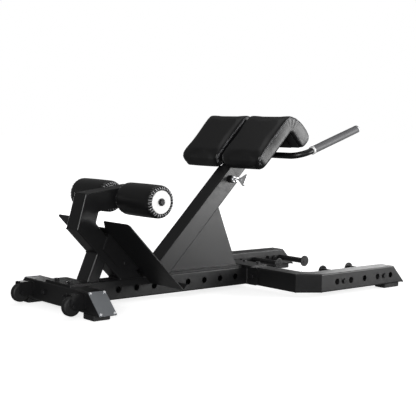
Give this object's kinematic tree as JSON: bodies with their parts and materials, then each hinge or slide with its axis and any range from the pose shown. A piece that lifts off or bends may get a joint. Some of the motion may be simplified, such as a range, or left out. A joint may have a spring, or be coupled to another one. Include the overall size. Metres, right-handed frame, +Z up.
{
  "type": "roman chair",
  "caption": "Low 45 degree hip-extension bench with telescoping saddle pads, bent handlebar, ankle rollers, foot plate and a U-shaped base with band pegs.",
  "frame": {"origin": "centre of the bounding box on the floor, in the bench's mid plane", "axes": "+X along the main rail towards the U-shaped base, the way the user faces; +Y to the user's left; +Z up"},
  "size_m": [1.617, 0.757, 0.725],
  "materials": {
    "frame_black": "near-black satin powder coat",
    "peg_black": "black coated steel",
    "bolt_black": "black zinc",
    "bright_steel": "polished chrome plate",
    "end_plate_aluminium": "fine brushed",
    "foot_rubber": "matte",
    "wheel_rubber": "matte",
    "wheel_plastic": "moulded",
    "cap_plastic": "moulded",
    "grip_rubber": "matte with fine ribs",
    "collar_plastic": "moulded",
    "disc_plastic": "moulded",
    "axle_steel": "drawn bar",
    "roller_cover": "soft black vinyl",
    "pad_cover": "soft black vinyl with double stitched seams",
    "board_plastic": "moulded board"
  },
  "bodies": {
    "frame": {"ankle_arm_lower": "frame_black", "ankle_arm_middle": "frame_black", "ankle_arm_upper": "frame_black", "ankle_strut": "frame_black", "axle_end_bolts": "bolt_black", "axle_spacers": "cap_plastic", "band_peg_left_1": "peg_black", "band_peg_left_2": "peg_black", "band_peg_right_1": "peg_black", "band_peg_right_2": "peg_black", "base_arm_left": "frame_black", "base_arm_right": "frame_black", "base_corner_left": "frame_black", "base_corner_right": "frame_black", "base_cross_tube": "frame_black", "base_joint_bracket": "frame_black", "foot_plate": "frame_black", "foot_plate_bracket": "frame_black", "frame_bolts": "bolt_black", "frame_nuts": "bolt_black", "guide_bush": "cap_plastic", "main_rail": "frame_black", "pin_barrel": "bright_steel", "pin_collar": "bolt_black", "rear_cross_tube": "frame_black", "rear_end_plate_left": "end_plate_aluminium", "rear_end_plate_right": "end_plate_aluminium", "rear_end_plate_screws": "bright_steel", "rear_joint_bracket": "frame_black", "roller_axle": "axle_steel", "rubber_feet": "foot_rubber", "tube_end_caps": "cap_plastic", "upright_gusset": "frame_black", "upright_tube": "frame_black", "wheel_fasteners": "bolt_black", "wheel_fork_left": "frame_black", "wheel_fork_right": "frame_black"},
    "pad_carriage": {"inner_post": "frame_black", "pad_bracket": "frame_black", "pad_board_left": "board_plastic", "pad_board_right": "board_plastic", "hip_pad_left": "pad_cover", "hip_pad_right": "pad_cover", "pad_screws": "bolt_black", "handlebar": "frame_black", "handle_block": "frame_black", "grip_collars": "collar_plastic", "grip_end_caps": "bright_steel", "hand_grip_left": "grip_rubber", "hand_grip_right": "grip_rubber"},
    "pull_pin_plunger": {"pull_pin": "bright_steel"},
    "roller_left": {"roller_core_left": "disc_plastic", "roller_foam_left": "roller_cover"},
    "roller_right": {"roller_core_right": "disc_plastic", "roller_foam_right": "roller_cover"},
    "wheel_left": {"wheel_hub_left": "wheel_plastic", "wheel_tyre_left": "wheel_rubber"},
    "wheel_right": {"wheel_hub_right": "wheel_plastic", "wheel_tyre_right": "wheel_rubber"}
  },
  "joints": [
    {"name": "post_slide", "type": "slide", "parent": "frame", "child": "pad_carriage", "axis": [0.7071, 0, 0.7071], "range_m": [0, 0.15]},
    {"name": "pull_pin_slide", "type": "slide", "parent": "frame", "child": "pull_pin_plunger", "axis": [0, 1, 0], "range_m": [0, 0.012]},
    {"name": "roller_left_spin", "type": "hinge", "parent": "frame", "child": "roller_left", "pos_m": [-0.4485, 0.1525, 0.4015], "axis": [0, 1, 0], "continuous": true},
    {"name": "roller_right_spin", "type": "hinge", "parent": "frame", "child": "roller_right", "pos_m": [-0.4485, -0.1525, 0.4015], "axis": [0, 1, 0], "continuous": true},
    {"name": "wheel_left_spin", "type": "hinge", "parent": "frame", "child": "wheel_left", "pos_m": [-0.7735, 0.172, 0.046], "axis": [0, 1, 0], "continuous": true},
    {"name": "wheel_right_spin", "type": "hinge", "parent": "frame", "child": "wheel_right", "pos_m": [-0.7735, -0.172, 0.046], "axis": [0, 1, 0], "continuous": true}
  ]
}
